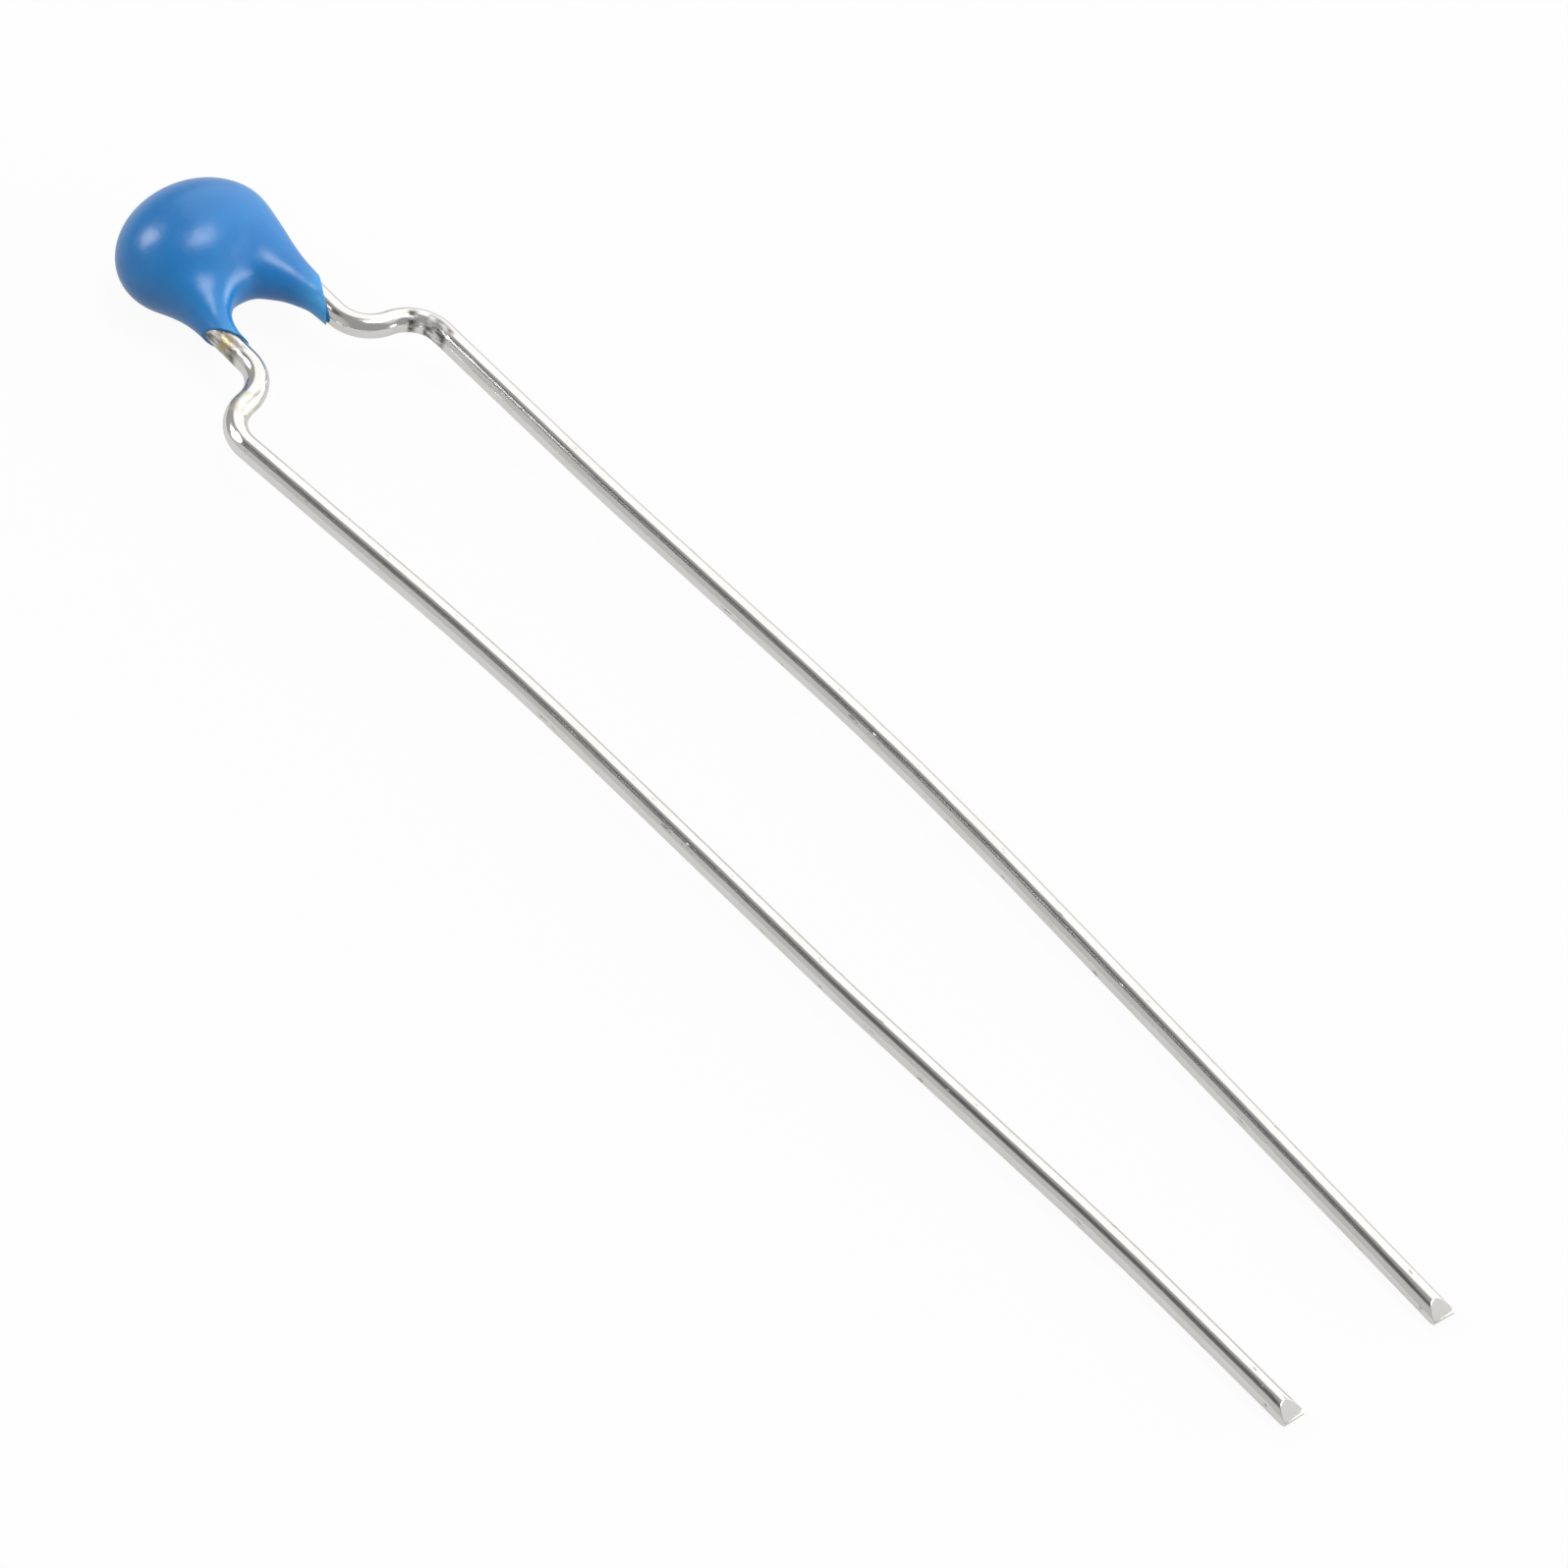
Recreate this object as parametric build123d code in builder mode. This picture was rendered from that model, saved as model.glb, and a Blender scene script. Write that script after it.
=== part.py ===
"""A small multilayer ceramic capacitor with two formed wire leads, in millimetres.

A blue epoxy coating, dipped, hides a ceramic chip that is soldered between two tinned wires.
Each wire leaves the coating, kinks outwards to the board pitch and then runs straight.

Everything is first modelled flat: the body's middle is at the origin, the leads lie in the XY
plane and point along +X, and +Y is across them. At the end the whole capacitor is laid down at
rest on Z = 0, on the underside of its body and the tips of its leads.
"""

import os
from math import acos, asin, cos, degrees, radians, sin

from build123d import *

# Epoxy coating: an ellipsoid with a tapered sleeve running out along each lead
body_length = 2.80
body_width = 3.44
body_thickness = 2.36
sleeve_root_x = 0.30
sleeve_root_width = 1.15
sleeve_root_thickness = 1.50
sleeve_root_inset = 0.09  # from the body's side to the outer side of the sleeve's root
collar_film = 0.05  # over the wire, at the coating's end
collar_inset = 0.03  # the collar's middle lies this far inside the wire's
collar_slant = 64  # degrees: the coating runs further along the inner side of each lead
collar_reach_left = 2.08
collar_reach_right = 2.46

# Leads: round tinned wire
wire_diameter = 0.50
exit_pitch = 2.20  # between the wires where they leave the coating
lead_pitch = 5.00  # between the wires below the kink
bend_radius = 0.85
kink_x = 3.80  # middle of the kink, from the body's middle
lead_reach_left = 35.02
lead_reach_right = 34.90
lead_inner_end_x = -0.55
lean_left = 4.3  # degrees the straight part leans towards +Y, just after the kink
lean_right = 0.6
gentle_radius = 80.0  # of the slight bends from handling
slight_bends_left = [(4.9, -3.6), (6.5, 1.5), (5.2, -2.3)]  # run before each bend, its turn
slight_bends_right = [(3.9, 1.5), (5.0, -3.0), (1.0, -1.0)]
cut_bevel_length = 0.33  # the cutters pinch each tip to a blunt chisel
cut_land = 0.08

# Ceramic chip and what is fired and soldered onto it
chip_width = 0.80  # along X
chip_thickness = 0.80
chip_x = 0.05
chip_to_wire_gap = 0.05
termination_thickness = 0.04
termination_band = 0.30
electrodes_per_side = 4
electrode_thickness = 0.02
electrode_spacing = 0.08
electrode_side_margin = 0.10
electrode_end_margin = 0.20
solder_length = 0.90  # along the wire
solder_height = 0.60
solder_film = 0.08  # round the wire

wire_radius = wire_diameter / 2
exit_y = exit_pitch / 2
collar_width = wire_diameter + 2 * collar_film
kink_angle = degrees(acos(1 - (lead_pitch - exit_pitch) / (4 * bend_radius)))
termination_face_y = exit_y - wire_radius - chip_to_wire_gap
chip_end_y = termination_face_y - termination_thickness


def formed_lead(side, reach, lean, slight_bends):
    """One wire, from beside the chip to its cut tip; side is +1 towards +Y, -1 towards -Y."""
    with BuildPart() as lead:
        with BuildLine() as path:
            kink_start_x = kink_x - bend_radius * sin(radians(kink_angle))
            inner = Line((lead_inner_end_x, side * exit_y), (kink_start_x, side * exit_y))
            outward = JernArc(inner @ 1, inner % 1, bend_radius, side * kink_angle)
            back = JernArc(outward @ 1, outward % 1, bend_radius, lean - side * kink_angle)
            end, heading = back @ 1, back % 1
            for run, turn in slight_bends:
                straight = Line(end, end + heading * run)
                bend = JernArc(straight @ 1, heading, gentle_radius, turn)
                end, heading = bend @ 1, bend % 1
            Line(end, end + heading * ((reach - end.X) / heading.X))
        with BuildSketch(Plane(inner @ 0, z_dir=inner % 0)):
            Circle(wire_radius)
        sweep(path=path.wires()[0])
        tip = path.wires()[0] @ 1
        with BuildSketch(Plane.XZ.offset(-tip.Y)):
            for up in (1, -1):
                Polygon(
                    (tip.X, up * cut_land / 2),
                    (tip.X - cut_bevel_length, up * wire_radius),
                    (tip.X - cut_bevel_length, up * wire_diameter),
                    (tip.X + wire_diameter, up * wire_diameter),
                    (tip.X + wire_diameter, up * cut_land / 2),
                    align=None,
                )
        extrude(amount=wire_diameter, both=True, mode=Mode.SUBTRACT)
    return lead


lead_left = formed_lead(-1, lead_reach_left, lean_left, slight_bends_left)
lead_right = formed_lead(1, lead_reach_right, lean_right, slight_bends_right)


def electrode_stack(side, first_layer):
    """Every second metal layer in the chip, reaching the end of the chip on the given side."""
    with BuildPart() as stack:
        for layer in range(first_layer, 2 * electrodes_per_side, 2):
            height = (layer - electrodes_per_side + 0.5) * electrode_spacing
            with Locations((chip_x, side * electrode_end_margin / 2, height)):
                Box(
                    chip_width - 2 * electrode_side_margin,
                    2 * chip_end_y - electrode_end_margin,
                    electrode_thickness,
                )
    return stack


electrodes_left = electrode_stack(-1, 0)
electrodes_right = electrode_stack(1, 1)

with BuildPart() as ceramic_chip:
    with Locations((chip_x, 0, 0)):
        Box(chip_width, 2 * chip_end_y, chip_thickness)
    add(electrodes_left.part, mode=Mode.SUBTRACT)
    add(electrodes_right.part, mode=Mode.SUBTRACT)


def termination(side):
    """The metal cap fired over one end of the chip."""
    cap_length = termination_band + termination_thickness
    middle = (chip_x, side * (termination_face_y - cap_length / 2), 0)
    with BuildPart() as cap:
        with Locations(middle):
            Box(
                chip_width + 2 * termination_thickness,
                cap_length,
                chip_thickness + 2 * termination_thickness,
            )
        with Locations((chip_x, 0, 0)):
            Box(chip_width, 2 * chip_end_y, chip_thickness, mode=Mode.SUBTRACT)
    return cap


termination_left = termination(-1)
termination_right = termination(1)


def solder_joint(side, lead):
    """Solder drawn round the wire and onto the cap's flat face."""
    face_y, wire_y = side * termination_face_y, side * exit_y
    with BuildPart() as joint:
        with BuildSketch(Plane.YZ.offset(chip_x - solder_length / 2)):
            with Locations(((face_y + wire_y) / 2, 0)):
                Rectangle(abs(wire_y - face_y), solder_height)
            with Locations((wire_y, 0)):
                Circle(wire_radius + solder_film)
        extrude(amount=solder_length)
        with Locations((chip_x, side * (termination_face_y - chip_width / 2), 0)):
            Box(solder_length * 2, chip_width, solder_height * 2, mode=Mode.SUBTRACT)
        add(lead.part, mode=Mode.SUBTRACT)
    return joint


solder_left = solder_joint(-1, lead_left)
solder_right = solder_joint(1, lead_right)

with BuildPart() as epoxy_coating:
    with BuildSketch():
        Ellipse(body_length / 2, body_width / 2)
        split(bisect_by=Plane.YZ)
    revolve(axis=Axis.Y)
    scale(by=(1, 1, body_thickness / body_length))
    for side, collar_reach in ((-1, collar_reach_left), (1, collar_reach_right)):
        root_y = side * (body_width / 2 - sleeve_root_inset - sleeve_root_width / 2)
        with BuildSketch(Plane((sleeve_root_x, root_y, 0), x_dir=(0, 1, 0), z_dir=(1, 0, 0))):
            Ellipse(sleeve_root_width / 2, sleeve_root_thickness / 2)
        collar_y = side * (exit_y - collar_inset)
        collar = Plane((collar_reach, collar_y, 0), x_dir=(0, 1, 0), z_dir=(1, 0, 0))
        with BuildSketch(collar.rotated((0, side * collar_slant, 0))):
            Ellipse(collar_width / 2 / cos(radians(collar_slant)), collar_width / 2)
        loft()
    for inner_piece in (
        ceramic_chip,
        electrodes_left,
        electrodes_right,
        termination_left,
        termination_right,
        solder_left,
        solder_right,
        lead_left,
        lead_right,
    ):
        add(inner_piece.part, mode=Mode.SUBTRACT)

pieces = {
    "epoxy_coating": epoxy_coating,
    "ceramic_chip": ceramic_chip,
    "electrodes_left": electrodes_left,
    "electrodes_right": electrodes_right,
    "termination_left": termination_left,
    "termination_right": termination_right,
    "solder_left": solder_left,
    "solder_right": solder_right,
    "lead_left": lead_left,
    "lead_right": lead_right,
}

# Laid down: the leads slope from the middle of the body down to their tips on the table.
tip_contact_x = min(lead_reach_left, lead_reach_right) - cut_bevel_length
slope = degrees(asin((body_thickness / 2 - wire_radius) / tip_contact_x))
tilted = [Location((0, 0, 0), (0, slope, 0)) * piece.part for piece in pieces.values()]
box = Compound(tilted).bounding_box()
to_origin = Location((-box.center().X, -box.center().Y, -box.min.Z))

os.makedirs("parts", exist_ok=True)
for name, piece in zip(pieces, tilted):
    laid = to_origin * piece
    laid.label = name
    export_step(laid, f"parts/{name}.step")
print(f"slope {slope:.4f} degrees, body's middle at x {-box.center().X:.4f} y {-box.center().Y:.4f}")
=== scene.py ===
# %% [markdown]
# # A dipped ceramic capacitor
#
# The real part is three things to the eye: a blue epoxy body, dipped and cured, and two tinned wire
# leads that leave it, kink outwards and run straight. The engineering model already holds every
# piece at its size, so this lesson starts from it and gives the visible pieces their finish.

# %% Load the frame
import math

import bpy
from mathutils import Matrix, Vector


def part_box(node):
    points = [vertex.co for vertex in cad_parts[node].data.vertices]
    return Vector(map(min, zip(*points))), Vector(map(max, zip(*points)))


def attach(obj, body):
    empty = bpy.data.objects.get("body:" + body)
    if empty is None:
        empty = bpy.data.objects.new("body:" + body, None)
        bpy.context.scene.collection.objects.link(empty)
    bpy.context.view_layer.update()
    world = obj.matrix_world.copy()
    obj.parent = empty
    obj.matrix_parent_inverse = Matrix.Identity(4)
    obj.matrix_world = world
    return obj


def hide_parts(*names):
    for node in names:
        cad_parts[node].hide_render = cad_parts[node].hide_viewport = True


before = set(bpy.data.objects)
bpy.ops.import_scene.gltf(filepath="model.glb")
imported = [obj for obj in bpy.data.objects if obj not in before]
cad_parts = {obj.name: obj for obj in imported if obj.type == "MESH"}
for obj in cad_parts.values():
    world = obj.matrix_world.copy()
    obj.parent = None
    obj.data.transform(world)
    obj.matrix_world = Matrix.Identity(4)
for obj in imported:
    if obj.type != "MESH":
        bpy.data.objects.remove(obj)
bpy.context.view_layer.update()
bpy.ops.object.select_all(action="DESELECT")
print("nodes:", sorted(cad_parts))

# %% [markdown]
# ## Sizes
#
# Blender works in metres, and this part is a few millimetres across. Many of its tools, such as
# bisect and merge, take points closer than a tenth of a millimetre for one point, which would ruin
# a wire half a millimetre thick. So every piece is modelled a thousand times its size, with one
# unit for each millimetre, and shrunk when it is laid in place. The values are those of the
# engineering model: a round wire, the distance between the wires at the body and on the board,
# and the bends between.

# %% Driving sizes
MM = 0.001
WIRE_RADIUS = 0.25
EXIT_Y = 1.10
BOARD_Y = 2.50
BEND_RADIUS = 0.85
KINK_X = 3.80
LEAD_START_X = -0.55
BODY_LENGTH = 2.80
BODY_THICKNESS = 2.36

kink_angle = math.acos(1 - (BOARD_Y - EXIT_Y) / (2 * BEND_RADIUS))
print("each kink turns", round(math.degrees(kink_angle), 1), "degrees")

# %% [markdown]
# ## Where the part lies
#
# It is easiest to model the part flat, with the middle of its body at the origin and its leads
# along X. The real one lies on a table on its belly and its two wire tips, so it slopes a little.
# The boxes of the engineering pieces say where the body's middle is and how steep the slope is.

# %% The laid-down placement
coat_low, coat_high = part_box("epoxy_coating")
left_low, left_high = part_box("lead_left")
body_middle = Vector((
    coat_low.x / MM + BODY_LENGTH / 2,
    left_low.y / MM + BOARD_Y + WIRE_RADIUS,
    coat_high.z / MM - BODY_THICKNESS / 2,
))
lead_run = left_high.x / MM - body_middle.x
slope = math.asin((body_middle.z - WIRE_RADIUS) / lead_run)
laid_down = Matrix.Scale(MM, 4) @ Matrix.Translation(body_middle) @ Matrix.Rotation(slope, 4, "Y")
print("body middle, mm:", [round(v, 3) for v in body_middle])
print("slope, degrees:", round(math.degrees(slope), 2))


def select_only(piece):
    """Makes one object the only selected and active one."""
    bpy.ops.object.select_all(action="DESELECT")
    piece.select_set(True)
    bpy.context.view_layer.objects.active = piece


def apply_modifiers(piece):
    """Applies every modifier in order, so the mesh is what the eye sees."""
    select_only(piece)
    for modifier in list(piece.modifiers):
        bpy.ops.object.modifier_apply(modifier=modifier.name)


def lay_down(piece):
    """Shrinks a flat-modelled piece to where the capacitor lies, and bakes that into its mesh."""
    select_only(piece)
    piece.matrix_world = laid_down @ piece.matrix_world
    bpy.ops.object.transform_apply(location=True, rotation=True, scale=True)


# %% [markdown]
# ## The leads
#
# A lead is drawn wire: a straight rod that a forming tool has bent. It could be swept along its
# final path at once, but then nothing on its skin would know which way the wire was drawn. So the
# rod is modelled straight, its straight position is stored on every vertex, and a Curve modifier
# bends it. The drawing lines, nicks and stains can then follow the wire round its bends.

# %% The path of a bent wire
GENTLE_RADIUS = 80.0
KINK_RINGS, TOOL_RINGS, BEND_RINGS, STRAIGHT_RINGS = 24, 10, 5, 6
TOOL_REACH = 0.5


def wire_route(side, reach, lean, slight_bends):
    """Runs and arcs as (length, turn, rings), turn 0 for a straight run, up to the cut tip."""
    kink_length = BEND_RADIUS * kink_angle
    inner = KINK_X - BEND_RADIUS * math.sin(kink_angle) - LEAD_START_X
    route = [(inner, 0.0, STRAIGHT_RINGS), (kink_length, side * kink_angle, KINK_RINGS)]
    back = lean - side * kink_angle
    route.append((BEND_RADIUS * abs(back), back, KINK_RINGS))
    route.append((TOOL_REACH, 0.0, TOOL_RINGS))
    x = KINK_X + BEND_RADIUS * (math.sin(kink_angle) - side * math.sin(lean))
    x += TOOL_REACH * math.cos(lean)
    spent, heading = TOOL_REACH, lean
    for run, turn in slight_bends:
        route.append((run - spent, 0.0, STRAIGHT_RINGS))
        arc = GENTLE_RADIUS * abs(turn)
        route.append((arc, turn, BEND_RINGS))
        x += (run - spent) * math.cos(heading) + arc * math.cos(heading + turn / 2)
        heading += turn
        spent = 0.0
    route.append(((reach - x) / math.cos(heading), 0.0, STRAIGHT_RINGS))
    return route


def bezier_path(name, start, route):
    """A Bezier curve through the ends of the runs and arcs, with handles that make true arcs."""
    data = bpy.data.curves.new(name, "CURVE")
    data.dimensions = "2D"
    data.resolution_u = 64
    spline = data.splines.new("BEZIER")
    spline.bezier_points.add(len(route))
    place, heading = Vector(start), 0.0
    for index, (length, turn, _) in enumerate(route):
        here, there = spline.bezier_points[index], spline.bezier_points[index + 1]
        direction = Vector((math.cos(heading), math.sin(heading), 0))
        if turn:
            radius = length / abs(turn)
            reach = 4 / 3 * math.tan(abs(turn) / 4) * radius
            chord = 2 * radius * math.sin(abs(turn) / 2)
            middle = heading + turn / 2
            end = place + chord * Vector((math.cos(middle), math.sin(middle), 0))
        else:
            reach = length / 3
            end = place + length * direction
        heading += turn
        leaving = Vector((math.cos(heading), math.sin(heading), 0))
        for point in (here, there):
            point.handle_left_type = point.handle_right_type = "FREE"
        here.co = place
        here.handle_right = place + reach * direction
        there.co = end
        there.handle_left = end - reach * leaving
        if index == 0:
            here.handle_left = place - reach * direction
        there.handle_right = end + reach * leaving
        place = end
    curve = bpy.data.objects.new(name, data)
    bpy.context.collection.objects.link(curve)
    return curve


# %% The rod, its cut tip and its bends
WIRE_SIDES = 48
CUT_BEVEL = 0.33
CUT_LAND = 0.08
CUT_BURR = 0.012


def straight_rod(name, route):
    """A rod along X from the origin, with rings close together where it will be bent."""
    bpy.ops.object.select_all(action="DESELECT")
    bpy.ops.mesh.primitive_circle_add(
        vertices=WIRE_SIDES, radius=WIRE_RADIUS, fill_type="NGON", rotation=(0, math.pi / 2, 0)
    )
    rod = bpy.context.object
    rod.name = rod.data.name = name
    bpy.ops.object.transform_apply(rotation=True)
    bpy.ops.object.mode_set(mode="EDIT")
    bpy.ops.mesh.select_all(action="SELECT")
    for length, _, rings in route:
        for _ in range(rings):
            bpy.ops.mesh.extrude_region_move(TRANSFORM_OT_translate={"value": (length / rings, 0, 0)})
    bpy.ops.mesh.select_all(action="SELECT")
    bpy.ops.mesh.normals_make_consistent(inside=False)
    bpy.ops.object.mode_set(mode="OBJECT")
    return rod


def pinch_tip(rod, length):
    """Cuts the two slanting faces that a pair of cutters leaves, and rounds their edges a little."""
    select_only(rod)
    rise = WIRE_RADIUS - CUT_LAND / 2
    for up in (1, -1):
        bpy.ops.object.mode_set(mode="EDIT")
        bpy.ops.mesh.select_all(action="SELECT")
        bpy.ops.mesh.bisect(
            plane_co=(length, 0, up * CUT_LAND / 2),
            plane_no=(rise, 0, up * CUT_BEVEL),
            use_fill=True,
            clear_outer=True,
        )
        bpy.ops.object.mode_set(mode="OBJECT")
    bpy.ops.object.mode_set(mode="EDIT")
    bpy.ops.mesh.select_all(action="DESELECT")
    bpy.ops.mesh.edges_select_sharp(sharpness=math.radians(30))
    bpy.ops.mesh.bevel(offset=CUT_BURR, segments=2)
    bpy.ops.object.mode_set(mode="OBJECT")


# %% Marks pressed into the wire


def press_mark(rod, along, angle, half_length, half_width, depth):
    """Presses a shallow dent into the rod, at a distance along it and an angle round it."""
    outward = Vector((0, math.cos(angle), math.sin(angle)))
    select_only(rod)
    bpy.ops.object.mode_set(mode="EDIT")
    bpy.ops.mesh.select_mode(type="VERT")
    bpy.ops.mesh.select_all(action="DESELECT")
    bpy.ops.object.mode_set(mode="OBJECT")
    pressed = 0
    for vertex in rod.data.vertices:
        across = Vector((0, *vertex.co.yz)).angle(outward, math.pi) * WIRE_RADIUS
        if ((vertex.co.x - along) / half_length) ** 2 + (across / half_width) ** 2 < 1:
            vertex.select = True
            pressed += 1
    bpy.ops.object.mode_set(mode="EDIT")
    bpy.ops.transform.translate(
        value=-depth * outward,
        use_proportional_edit=True,
        proportional_edit_falloff="SMOOTH",
        proportional_size=half_width,
    )
    bpy.ops.object.mode_set(mode="OBJECT")
    print("mark at", along, "presses", pressed, "points")


def formed_lead(name, side, reach, lean, slight_bends, marks):
    """One lead: rod, cut tip, marks, remembered straight positions, bends, place."""
    route = wire_route(side, reach, lean, slight_bends)
    length = sum(run for run, _, _ in route)
    lead = straight_rod(name, route)
    pinch_tip(lead, length)
    for mark in marks:
        press_mark(lead, *mark)
    drawn = lead.data.attributes.new("drawn", "FLOAT_VECTOR", "POINT")
    for vertex, value in zip(lead.data.vertices, drawn.data):
        value.vector = vertex.co
    path = bezier_path(name + "_path", (LEAD_START_X, side * EXIT_Y, 0), route)
    bend = lead.modifiers.new("bend", "CURVE")
    bend.object = path
    bend.deform_axis = "POS_X"
    apply_modifiers(lead)
    bpy.data.objects.remove(path)
    lay_down(lead)
    select_only(lead)
    bpy.ops.object.shade_smooth_by_angle(angle=math.radians(25))
    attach(lead, "root")
    print(name, "is", round(length, 2), "mm of wire,", len(lead.data.polygons), "faces")
    return lead


LEFT_BENDS = [(4.9, math.radians(-3.6)), (6.5, math.radians(1.5)), (5.2, math.radians(-2.3))]
RIGHT_BENDS = [(3.9, math.radians(1.5)), (5.0, math.radians(-3.0)), (1.0, math.radians(-1.0))]

# Each mark: distance along the wire, angle round it, half its length, half its width, depth.
RIGHT_MARKS = [
    (5.86, math.radians(145), 0.26, 0.06, 0.025),
    (5.34, math.radians(150), 0.06, 0.05, 0.012),
    (5.16, math.radians(155), 0.08, 0.05, 0.018),
]
LEFT_MARKS = [(5.75, math.radians(120), 0.10, 0.05, 0.010)]

left_lead = formed_lead(
    "tinned_lead_left", -1, 35.02, math.radians(4.3), LEFT_BENDS, LEFT_MARKS
)
right_lead = formed_lead(
    "tinned_lead_right", 1, 34.90, math.radians(0.58), RIGHT_BENDS, RIGHT_MARKS
)
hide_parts("lead_left")
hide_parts("lead_right")

# %% [markdown]
# ## The coating
#
# The body was dipped in liquid epoxy, which drew itself into one smooth drop with two roots that
# run out along the wires. A drop has no edges to model, so its masses are put down as plain forms,
# an egg for the chip and a tapering horseshoe that runs from one wire through the body to the
# other. A voxel remesh melts them into one skin, and smoothing gives the soft saddle between the
# roots that surface tension gives the real one.

# %% The masses of the drop
VOXEL = 0.04
CROWN_MIDDLE = (0.0, -0.05, 0.0)
CROWN_HALF = (1.425, 1.76, 1.196)
# Each station of the horseshoe, from the left wire to the right: X, Y, radius.
HORSESHOE = [
    (3.10, -1.10, 0.285), (2.30, -1.09, 0.30), (1.90, -1.04, 0.37), (1.45, -0.88, 0.52),
    (0.98, -0.50, 0.71), (0.80, 0.00, 0.79), (0.98, 0.50, 0.73), (1.45, 0.80, 0.59),
    (2.00, 0.99, 0.43), (2.50, 1.07, 0.32), (3.40, 1.10, 0.285),
]


# The flanks fill the body out towards each wire.
LEFT_FLANK = [
    (-0.10, -0.70, 1.00), (0.50, -0.80, 0.86), (0.90, -0.84, 0.72), (1.40, -0.94, 0.51),
    (1.90, -1.07, 0.34), (2.40, -1.10, 0.285),
]
RIGHT_FLANK = [
    (-0.10, 0.66, 1.02), (0.50, 0.76, 0.90), (0.90, 0.82, 0.77), (1.50, 0.92, 0.56),
    (2.00, 1.03, 0.40), (2.50, 1.09, 0.30),
]


def tapering_tube(name, stations):
    """A round tube through stations, each with its own radius, as a mesh."""
    data = bpy.data.curves.new(name, "CURVE")
    data.dimensions = "3D"
    data.bevel_depth = 1.0
    data.bevel_resolution = 12
    data.use_fill_caps = True
    spline = data.splines.new("BEZIER")
    spline.bezier_points.add(len(stations) - 1)
    for point, (x, y, radius) in zip(spline.bezier_points, stations):
        point.co = (x, y, 0)
        point.radius = radius
        point.handle_left_type = point.handle_right_type = "AUTO"
    tube = bpy.data.objects.new(name, data)
    bpy.context.collection.objects.link(tube)
    select_only(tube)
    bpy.ops.object.convert(target="MESH")
    return bpy.context.object


bpy.ops.object.select_all(action="DESELECT")
bpy.ops.mesh.primitive_uv_sphere_add(
    segments=96, ring_count=48, radius=1, location=CROWN_MIDDLE, scale=CROWN_HALF
)
coating = bpy.context.object
coating.name = coating.data.name = "dipped_coating"
tubes = [
    tapering_tube("horseshoe", HORSESHOE),
    tapering_tube("left_flank", LEFT_FLANK),
    tapering_tube("right_flank", RIGHT_FLANK),
]
bpy.ops.object.select_all(action="DESELECT")
for mass in (*tubes, coating):
    mass.select_set(True)
bpy.context.view_layer.objects.active = coating
bpy.ops.object.join()
bpy.ops.object.transform_apply(location=True, rotation=True, scale=True)

# %% Melt and relax
melt = coating.modifiers.new("melt", "REMESH")
melt.mode = "VOXEL"
melt.voxel_size = VOXEL
apply_modifiers(coating)

# The thin film round the wires keeps its thickness, so it relaxes far less than the body.
FULL_RELAX_X, FILM_X, FILM_RELAX = 1.5, 2.3, 0.05
soft = coating.vertex_groups.new(name="soft")
for vertex in coating.data.vertices:
    along = (vertex.co.x - FULL_RELAX_X) / (FILM_X - FULL_RELAX_X)
    along = min(max(along, 0.0), 1.0)
    soft.add([vertex.index], 1 + (FILM_RELAX - 1) * along, "REPLACE")
relax = coating.modifiers.new("relax", "SMOOTH")
relax.factor = 0.5
relax.iterations = 190
relax.vertex_group = soft.name
apply_modifiers(coating)
print("drop:", len(coating.data.polygons), "faces")

# %% The slanting ends of the coating
COLLARS = [(-1, 2.26, 53), (1, 2.56, 60)]
for side, middle_x, slant in COLLARS:
    select_only(coating)
    bpy.ops.object.mode_set(mode="EDIT")
    bpy.ops.mesh.select_all(action="SELECT")
    bpy.ops.mesh.bisect(
        plane_co=(middle_x, side * EXIT_Y, 0),
        plane_no=(math.cos(math.radians(slant)), side * math.sin(math.radians(slant)), 0),
        use_fill=True,
        clear_outer=True,
    )
    bpy.ops.object.mode_set(mode="OBJECT")
flat_place = coating.data.attributes.new("flat_place", "FLOAT_VECTOR", "POINT")
for vertex, value in zip(coating.data.vertices, flat_place.data):
    value.vector = vertex.co
lay_down(coating)
select_only(coating)
bpy.ops.object.shade_smooth_by_angle(angle=math.radians(40))
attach(coating, "root")
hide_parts("epoxy_coating")

# %% [markdown]
# ## Materials
#
# Each material is a small chain of nodes: a pattern with its scale worked out from a real size,
# which moves the colour, the roughness and the bump together. Patterns on the coating and the
# leads read a stored position in millimetres, so a scale of 2 means two waves in a millimetre.
# The pieces from the engineering model read Object coordinates, which are in metres.

# %% Colour and node helpers


def linear(hex_colour):
    """An sRGB hex colour as the linear RGBA that shaders work in."""
    channels = [int(hex_colour[i : i + 2], 16) / 255 for i in (1, 3, 5)]
    return [c / 12.92 if c <= 0.04045 else ((c + 0.055) / 1.055) ** 2.4 for c in channels] + [1]


def new_material(name):
    """An empty node material with a Principled shader and its output."""
    material = bpy.data.materials.new(name)
    material.use_nodes = True
    return material, material.node_tree, material.node_tree.nodes["Principled BSDF"]


def add_node(tree, kind, settings=None, values=None, links=None):
    """Adds one node with its settings, its socket values and its incoming links."""
    node = tree.nodes.new(kind)
    for name, value in (settings or {}).items():
        setattr(node, name, value)
    for socket, value in (values or {}).items():
        node.inputs[socket].default_value = value
    for socket, source in (links or {}).items():
        tree.links.new(source, node.inputs[socket])
    return node


def set_shader(shader, values):
    """Sets constants on the shader's own sockets."""
    for socket, value in values.items():
        shader.inputs[socket].default_value = value


def finish_with(piece, material):
    """Gives the whole piece one material."""
    if piece.data.materials:
        piece.data.materials[0] = material
    else:
        piece.data.materials.append(material)


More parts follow.
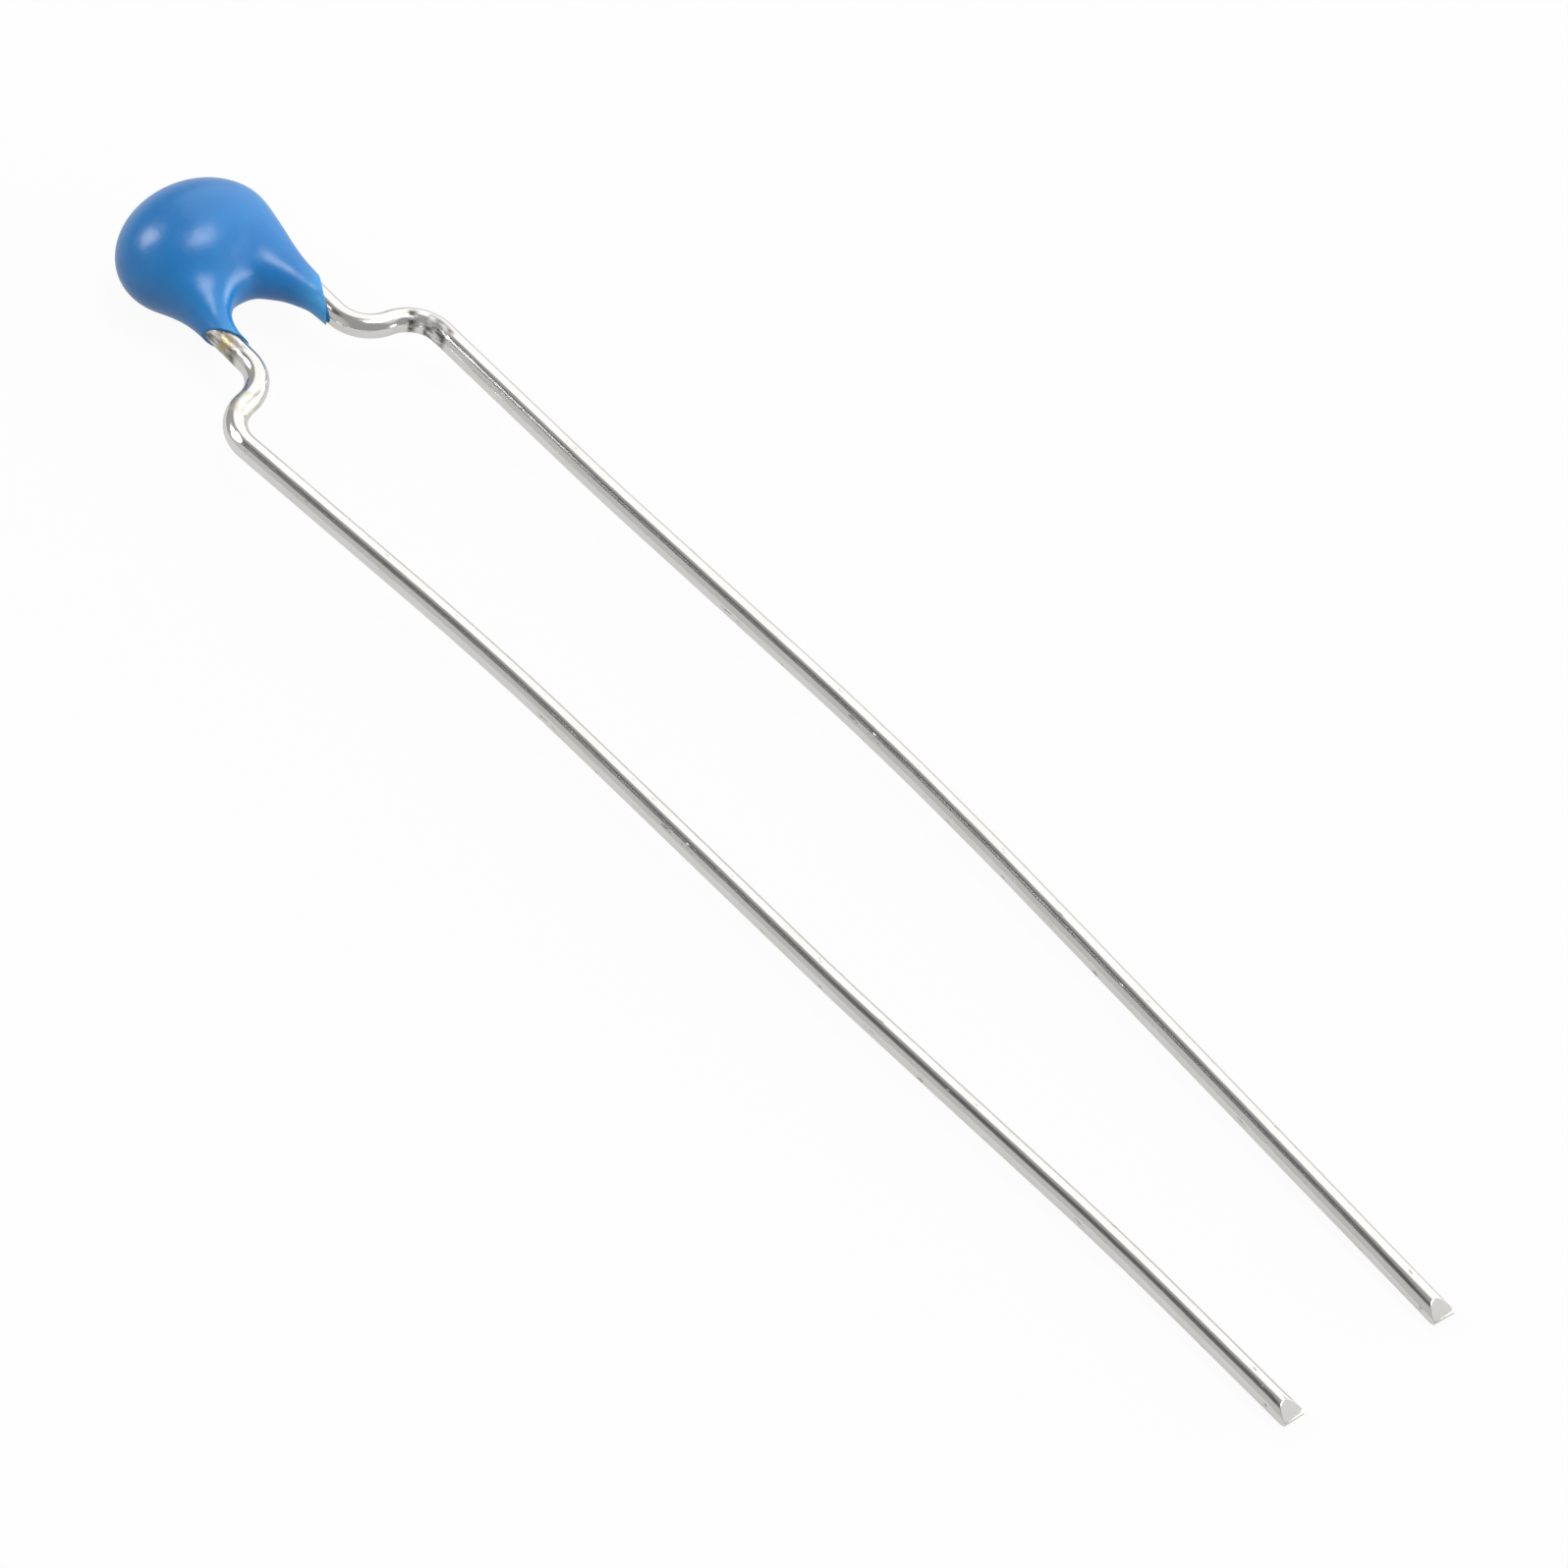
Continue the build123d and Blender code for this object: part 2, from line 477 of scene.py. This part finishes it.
# %% [markdown]
# ### Blue dipped epoxy
#
# Epoxy powder or paste, cured into a hard satin-gloss skin. The eye sees one strong blue that is
# a little uneven, soft broad reflections from a faint orange peel, and a paler, thinner film
# where the coating runs out along the wires. Noise gives the first two, and the distance along
# the part, broken up by more noise, gives the third.

# %% Blue dipped epoxy
epoxy, tree, shader = new_material("blue dipped epoxy")
set_shader(shader, {"IOR": 1.52})
place = add_node(tree, "ShaderNodeAttribute", {"attribute_name": "flat_place"})
clouds = add_node(tree, "ShaderNodeTexNoise", values={"Scale": 0.9, "Detail": 3.0},
                  links={"Vector": place.outputs["Vector"]})
body_blue = add_node(tree, "ShaderNodeMix", {"data_type": "RGBA"},
                     links={"Factor": clouds.outputs["Fac"]})
body_blue.inputs["A"].default_value = linear("#0a5996")
body_blue.inputs["B"].default_value = linear("#0d6fad")
pigment = add_node(tree, "ShaderNodeTexNoise", values={"Scale": 22.0, "Detail": 2.0},
                   links={"Vector": place.outputs["Vector"]})
split = add_node(tree, "ShaderNodeSeparateXYZ", links={"Vector": place.outputs["Vector"]})
ragged = add_node(tree, "ShaderNodeMath", {"operation": "MULTIPLY_ADD"}, {1: 0.9},
                  {0: clouds.outputs["Fac"], 2: split.outputs["X"]})
film = add_node(tree, "ShaderNodeMapRange", {"interpolation_type": "SMOOTHSTEP"},
                {"From Min": 2.25, "From Max": 3.35, "To Max": 0.55},
                {"Value": ragged.outputs[0]})
film_blue = add_node(tree, "ShaderNodeMix", {"data_type": "RGBA"},
                     links={"Factor": film.outputs["Result"], "A": body_blue.outputs["Result"]})
film_blue.inputs["B"].default_value = linear("#49a0d4")
tree.links.new(film_blue.outputs["Result"], shader.inputs["Base Color"])
satin = add_node(tree, "ShaderNodeMapRange", values={"To Min": 0.27, "To Max": 0.35},
                 links={"Value": pigment.outputs["Fac"]})
tree.links.new(satin.outputs["Result"], shader.inputs["Roughness"])
peel = add_node(tree, "ShaderNodeTexNoise", values={"Scale": 3.2, "Detail": 2.0},
                links={"Vector": place.outputs["Vector"]})
fine_peel = add_node(tree, "ShaderNodeBump", values={"Strength": 0.05, "Distance": 0.02 * MM},
                     links={"Height": pigment.outputs["Fac"]})
peel_bump = add_node(tree, "ShaderNodeBump", values={"Strength": 0.25, "Distance": 0.04 * MM},
                     links={"Height": peel.outputs["Fac"], "Normal": fine_peel.outputs["Normal"]})
tree.links.new(peel_bump.outputs["Normal"], shader.inputs["Normal"])
finish_with(coating, epoxy)
print("material:", epoxy.name)

# %% [markdown]
# ### Tinned drawn wire
#
# Copper-clad steel wire, pulled through a die and dipped in tin. It mirrors the room in long
# stripes, but the stripes waver: the tin is not quite even, fine lines run along it, and there
# are specks and small scratches. Close to the body, flux and stray resin have left one lead
# brown and mottled. On the other lead the forming tool has pressed dents and dulled the tin, and
# the dark reflections round those dents are painted into its colour.

# %% Tinned drawn wire


def tinned_wire(name, stains_and_painted_reflections):
    """The wire's finish, with stretches of stain and of painted dark reflection given as (from, to,
    angle round, colour).
    """
    material, tree, shader = new_material(name)
    set_shader(shader, {"Metallic": 1.0})
    place = add_node(tree, "ShaderNodeAttribute", {"attribute_name": "drawn"})
    along = add_node(tree, "ShaderNodeMapping", values={"Scale": (0.35, 1.0, 1.0)},
                     links={"Vector": place.outputs["Vector"]})
    uneven = add_node(tree, "ShaderNodeTexNoise", values={"Scale": 2.4, "Detail": 3.0},
                      links={"Vector": along.outputs["Vector"]})
    drawn_out = add_node(tree, "ShaderNodeMapping", values={"Scale": (0.02, 1.0, 1.0)},
                         links={"Vector": place.outputs["Vector"]})
    # Die lines are a few micrometres apart; they are drawn 0.04 mm apart so that they show.
    lines = add_node(tree, "ShaderNodeTexNoise", values={"Scale": 24.0, "Detail": 3.0},
                     links={"Vector": drawn_out.outputs["Vector"]})
    specks = add_node(tree, "ShaderNodeTexNoise", values={"Scale": 9.0, "Detail": 4.0},
                      links={"Vector": along.outputs["Vector"]})
    pits = add_node(tree, "ShaderNodeMapRange", {"interpolation_type": "SMOOTHSTEP"},
                    {"From Min": 0.66, "From Max": 0.74}, {"Value": specks.outputs["Fac"]})
    colour = add_node(tree, "ShaderNodeMix", {"data_type": "RGBA"},
                      links={"Factor": uneven.outputs["Fac"]})
    colour.inputs["A"].default_value = linear("#dcdbdc")
    colour.inputs["B"].default_value = linear("#cfcdc6")
    dull = pits.outputs["Result"]
    speckled = add_node(tree, "ShaderNodeMix", {"data_type": "RGBA"},
                        links={"Factor": dull, "A": colour.outputs["Result"]})
    speckled.inputs["B"].default_value = linear("#a19d98")
    top_colour = speckled.outputs["Result"]
    split = add_node(tree, "ShaderNodeSeparateXYZ", links={"Vector": place.outputs["Vector"]})
    # Each stretch darkens the tin's colour: a real resin stain on the left lead, painted dark
    # reflection round the tool dents on the right.
    for start, stop, angle, stain_and_reflection_colour in stains_and_painted_reflections:
        facing = add_node(tree, "ShaderNodeVectorMath", {"operation": "DOT_PRODUCT"},
                          links={0: place.outputs["Vector"]})
        facing.inputs[1].default_value = (0, math.cos(angle), math.sin(angle))
        side = add_node(tree, "ShaderNodeMapRange", {"interpolation_type": "SMOOTHSTEP"},
                        {"From Min": 0.02, "From Max": 0.14}, {"Value": facing.outputs["Value"]})
        rise = add_node(tree, "ShaderNodeMapRange", {"interpolation_type": "SMOOTHSTEP"},
                        {"From Min": start - 0.06, "From Max": start + 0.06},
                        {"Value": split.outputs["X"]})
        fall = add_node(tree, "ShaderNodeMapRange", {"interpolation_type": "SMOOTHSTEP"},
                        {"From Min": stop - 0.12, "From Max": stop + 0.06, "To Min": 1.0,
                         "To Max": 0.0}, {"Value": split.outputs["X"]})
        stretch = add_node(tree, "ShaderNodeMath", {"operation": "MULTIPLY"},
                           links={0: rise.outputs["Result"], 1: fall.outputs["Result"]})
        patch = add_node(tree, "ShaderNodeMath", {"operation": "MULTIPLY"},
                         links={0: stretch.outputs[0], 1: side.outputs["Result"]})
        mottle = add_node(tree, "ShaderNodeMapRange", values={"From Min": 0.36, "From Max": 0.58},
                          links={"Value": specks.outputs["Fac"]})
        blotch = add_node(tree, "ShaderNodeMath", {"operation": "MULTIPLY"},
                          links={0: patch.outputs[0], 1: mottle.outputs["Result"]})
        recoloured = add_node(tree, "ShaderNodeMix", {"data_type": "RGBA"},
                           links={"Factor": blotch.outputs[0], "A": top_colour})
        recoloured.inputs["B"].default_value = linear(stain_and_reflection_colour)
        top_colour = recoloured.outputs["Result"]
        worn = add_node(tree, "ShaderNodeMath", {"operation": "MAXIMUM"},
                        links={0: dull, 1: patch.outputs[0]})
        dull = worn.outputs[0]
    tree.links.new(top_colour, shader.inputs["Base Color"])
    rough = add_node(tree, "ShaderNodeMapRange", values={"To Min": 0.13, "To Max": 0.34},
                     links={"Value": dull})
    tree.links.new(rough.outputs["Result"], shader.inputs["Roughness"])
    line_bump = add_node(tree, "ShaderNodeBump", values={"Strength": 0.06, "Distance": 0.01 * MM},
                         links={"Height": lines.outputs["Fac"]})
    speck_bump = add_node(tree, "ShaderNodeBump", {"invert": True},
                          {"Strength": 0.12, "Distance": 0.01 * MM},
                          {"Height": dull, "Normal": line_bump.outputs["Normal"]})
    wave_bump = add_node(tree, "ShaderNodeBump", values={"Strength": 0.16, "Distance": 0.03 * MM},
                         links={"Height": uneven.outputs["Fac"],
                                "Normal": speck_bump.outputs["Normal"]})
    tree.links.new(wave_bump.outputs["Normal"], shader.inputs["Normal"])
    print("material:", name)
    return material


LEFT_SMEARS = [
    (1.9, 3.42, math.radians(150), "#6e695e"),
    (2.85, 3.15, math.radians(110), "#a99a72"),
    (4.6, 5.2, math.radians(60), "#c9c6b6"),
]
# Painted dark reflections round the tool dents, on tin that the tool has also dulled.
RIGHT_DULLING_AND_PAINTED_REFLECTIONS = [
    (5.08, 5.30, math.radians(150), "#57534f"),
    (5.52, 6.20, math.radians(150), "#6f6b68"),
]
finish_with(left_lead, tinned_wire("tinned drawn wire, resin stained", LEFT_SMEARS))
finish_with(right_lead, tinned_wire("tinned drawn wire, tool marked, painted dark reflections", RIGHT_DULLING_AND_PAINTED_REFLECTIONS))

# %% [markdown]
# ### The sealed pieces
#
# The chip, its electrodes, terminations and solder are inside the coating. They show only in a
# cut-away, but each still gets the finish of the real thing: buff fired ceramic with a fine
# grain, dull nickel layers, plated silver paste and grainy solder.

# %% Sealed pieces


def grained(name, low, high, grain_mm, roughness, metallic, bump):
    """A finish with an even grain of one real size."""
    material, tree, shader = new_material(name)
    set_shader(shader, {"Metallic": metallic})
    place = add_node(tree, "ShaderNodeTexCoord")
    grain = add_node(tree, "ShaderNodeTexNoise", values={"Scale": 1 / (grain_mm * MM)},
                     links={"Vector": place.outputs["Object"]})
    colour = add_node(tree, "ShaderNodeMix", {"data_type": "RGBA"},
                      links={"Factor": grain.outputs["Fac"]})
    colour.inputs["A"].default_value = linear(low)
    colour.inputs["B"].default_value = linear(high)
    tree.links.new(colour.outputs["Result"], shader.inputs["Base Color"])
    rough = add_node(tree, "ShaderNodeMapRange",
                     values={"To Min": roughness - 0.08, "To Max": roughness + 0.08},
                     links={"Value": grain.outputs["Fac"]})
    tree.links.new(rough.outputs["Result"], shader.inputs["Roughness"])
    relief = add_node(tree, "ShaderNodeBump", values={"Strength": bump, "Distance": 0.01 * MM},
                      links={"Height": grain.outputs["Fac"]})
    tree.links.new(relief.outputs["Normal"], shader.inputs["Normal"])
    print("material:", name)
    return material


SEALED = {
    "ceramic_chip": grained("fired titanate ceramic", "#a8906a", "#c4b08a", 0.05, 0.6, 0.0, 0.3),
    "electrodes": grained("sintered nickel layer", "#938e86", "#b0aba2", 0.03, 0.45, 1.0, 0.3),
    "termination": grained("plated silver paste", "#bdbab2", "#d6d4cd", 0.06, 0.38, 1.0, 0.4),
    "solder": grained("cast tin solder", "#a9a9a8", "#cccccb", 0.12, 0.30, 1.0, 0.5),
}
for name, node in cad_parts.items():
    for start, material in SEALED.items():
        if name.startswith(start):
            finish_with(node, material)

# %% [markdown]
# ## Table, light and camera
#
# Small shiny things are lit with large white cards, because polished wire shows nothing but what
# is round it. A white card on the far side draws the long highlight down each wire, a dark
# card beside it draws the dark line that makes it look like metal, and two small lamps make the
# two soft spots on the blue drop. A low strip lamp beyond the wires lights the ridge between the
# roots. The table is white paper: to the camera it shines a little of its own, so that it fades
# into the white backdrop and keeps only a faint shadow.

# %% Floor
bpy.ops.object.select_all(action="DESELECT")
bpy.ops.mesh.primitive_plane_add(size=2.4, location=(0, 0, 0))
floor = bpy.context.object
floor.name = "white_table"
paper, tree, shader = new_material("white table paper")
set_shader(shader, {"Base Color": linear("#bfbfbf"), "Roughness": 0.9})
SEEN_GLOW, MIRRORED_GLOW = 0.94, 0.55
ray = add_node(tree, "ShaderNodeLightPath")
see_through = add_node(tree, "ShaderNodeMath", {"operation": "MAXIMUM"},
                       links={0: ray.outputs["Is Glossy Ray"],
                              1: ray.outputs["Is Transmission Ray"]})
mirrored = add_node(tree, "ShaderNodeMath", {"operation": "MULTIPLY"}, {1: MIRRORED_GLOW},
                    {0: see_through.outputs[0]})
share = add_node(tree, "ShaderNodeMath", {"operation": "MULTIPLY_ADD"}, {1: SEEN_GLOW},
                 {0: ray.outputs["Is Camera Ray"], 2: mirrored.outputs[0]})
glow = add_node(tree, "ShaderNodeEmission", values={"Color": (1, 1, 1, 1), "Strength": 1.0})
blend = add_node(tree, "ShaderNodeMixShader", links={"Fac": share.outputs[0]})
tree.links.new(shader.outputs["BSDF"], blend.inputs[1])
tree.links.new(glow.outputs["Emission"], blend.inputs[2])
tree.links.new(blend.outputs["Shader"], tree.nodes["Material Output"].inputs["Surface"])
finish_with(floor, paper)

# %% The room round the table
world = bpy.data.worlds.new("studio")
bpy.context.scene.world = world
world.use_nodes = True
tree = world.node_tree
ROOM_GREY = 0.44
# Each card: direction, cosine where it fades out, cosine where it is full, brightness.
CARDS = [
    ((-0.34, 0.74, 0.58), 0.74, 0.86, 1.5),
    ((-0.30, -0.90, 0.25), 0.75, 0.92, 0.70),
    ((0.48, 0.46, 0.75), 0.88, 0.95, 0.95),
    ((-0.47, -0.41, 0.78), 0.94, 0.98, 0.10),
]
looking = add_node(tree, "ShaderNodeTexCoord")
level = add_node(tree, "ShaderNodeValue").outputs[0]
level.default_value = ROOM_GREY
for direction, edge, full, brightness in CARDS:
    toward = add_node(tree, "ShaderNodeVectorMath", {"operation": "DOT_PRODUCT"},
                      links={0: looking.outputs["Generated"]})
    toward.inputs[1].default_value = Vector(direction).normalized()
    spread = add_node(tree, "ShaderNodeMapRange", {"interpolation_type": "SMOOTHSTEP"},
                      {"From Min": edge, "From Max": full}, {"Value": toward.outputs["Value"]})
    card = add_node(tree, "ShaderNodeMix", {"data_type": "FLOAT"}, {"B": brightness},
                    {"Factor": spread.outputs["Result"], "A": level})
    level = card.outputs["Result"]
ray = add_node(tree, "ShaderNodeLightPath")
seen = add_node(tree, "ShaderNodeMix", {"data_type": "FLOAT"}, {"B": 1.0},
                {"Factor": ray.outputs["Is Camera Ray"], "A": level})
tree.links.new(seen.outputs["Result"], tree.nodes["Background"].inputs["Color"])

# %% Lamps


def soft_lamp(name, direction, distance, size, power):
    """A soft lamp of a width and height, in a direction from the body, facing it."""
    data = bpy.data.lights.new(name, "AREA")
    data.shape = "ELLIPSE"
    data.size, data.size_y = size
    data.energy = power
    lamp = bpy.data.objects.new(name, data)
    bpy.context.collection.objects.link(lamp)
    toward = Vector(direction).normalized()
    lamp.location = body_middle * MM + toward * distance
    lamp.rotation_euler = toward.to_track_quat("Z", "Y").to_euler()
    lamp.visible_camera = False
    return lamp


soft_lamp("left_spot_lamp", (-0.64, -0.38, 0.67), 0.6, (0.24, 0.24), 1.5)
soft_lamp("top_spot_lamp", (0.16, 0.16, 0.97), 0.6, (0.26, 0.26), 1.4)
soft_lamp("low_strip_lamp", (0.72, 0.66, 0.20), 0.6, (0.95, 0.30), 4.2)

# %% Camera
CAMERA_TARGET = Vector((0.70, 0.435, 0.7)) * MM
CAMERA_AZIMUTH, CAMERA_ELEVATION, CAMERA_ROLL = 45.94, 49.02, 5.56
CAMERA_DISTANCE = 280 * MM
CAMERA_LENS = 332.9

azimuth, elevation = math.radians(CAMERA_AZIMUTH), math.radians(CAMERA_ELEVATION)
back = Vector((
    math.sin(azimuth) * math.cos(elevation),
    -math.cos(azimuth) * math.cos(elevation),
    math.sin(elevation),
))
camera_data = bpy.data.cameras.new("camera")
camera_data.sensor_width = 36
camera_data.lens = CAMERA_LENS
camera_data.clip_start, camera_data.clip_end = 0.01, 10
camera = bpy.data.objects.new("camera", camera_data)
bpy.context.collection.objects.link(camera)
upright = (-back).to_track_quat("-Z", "Y").to_matrix().to_4x4()
roll = Matrix.Rotation(math.radians(CAMERA_ROLL), 4, "Z")
camera.matrix_world = Matrix.Translation(CAMERA_TARGET + back * CAMERA_DISTANCE) @ upright @ roll
bpy.context.scene.camera = camera
bpy.context.scene.view_settings.view_transform = "Standard"
